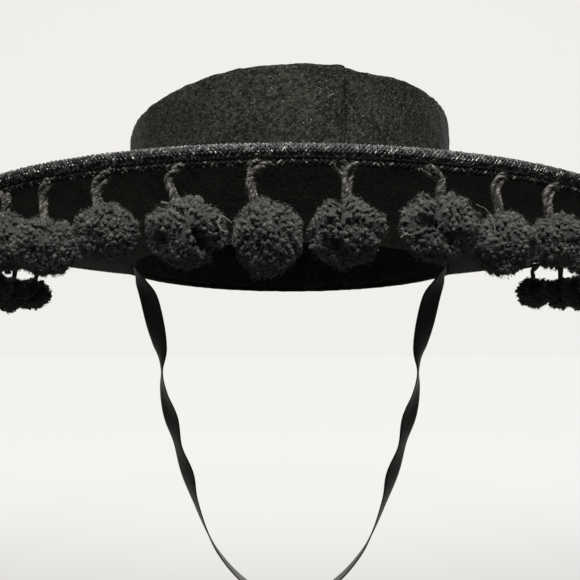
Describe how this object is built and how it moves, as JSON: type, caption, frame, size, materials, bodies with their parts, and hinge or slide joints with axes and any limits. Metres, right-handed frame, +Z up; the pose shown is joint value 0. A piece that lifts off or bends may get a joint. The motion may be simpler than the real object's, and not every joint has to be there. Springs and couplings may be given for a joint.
{
  "type": "cordobes hat",
  "caption": "Flat-topped felt hat with a wide stiff brim edged with braided rope, yarn pompoms hanging from the back and sides of the brim, and a ribbon chin strap.",
  "frame": {"origin": "centre of the head opening, on the underside of the brim", "axes": "+Z up through the crown, +Y the way the wearer faces, the crown's seam at the back, -Y"},
  "size_m": [0.3491, 0.3696, 0.2725],
  "materials": {
    "felt": "matt pressed wool felt",
    "rope": "braided cord with light flecks",
    "tape": "narrow woven tape",
    "yarn": "soft fuzzy yarn",
    "ribbon": "smooth black ribbon"
  },
  "bodies": {
    "root": {"crown_side": "felt", "crown_top": "felt", "brim": "felt", "edge_rope": "rope", "fringe_tape": "tape", "chin_strap": "ribbon", "pompom_01": "yarn", "pompom_02": "yarn", "pompom_03": "yarn", "pompom_04": "yarn", "pompom_05": "yarn", "pompom_06": "yarn", "pompom_07": "yarn", "pompom_08": "yarn", "pompom_09": "yarn", "pompom_10": "yarn", "pompom_11": "yarn", "pompom_12": "yarn", "pompom_13": "yarn", "pompom_14": "yarn", "pompom_15": "yarn", "pompom_16": "yarn", "pompom_17": "yarn", "pompom_18": "yarn", "pompom_19": "yarn", "pompom_20": "yarn", "pompom_21": "yarn", "pompom_22": "yarn", "pompom_23": "yarn", "pompom_24": "yarn", "pompom_25": "yarn", "pompom_26": "yarn", "pompom_27": "yarn", "pompom_28": "yarn"}
  },
  "joints": []
}
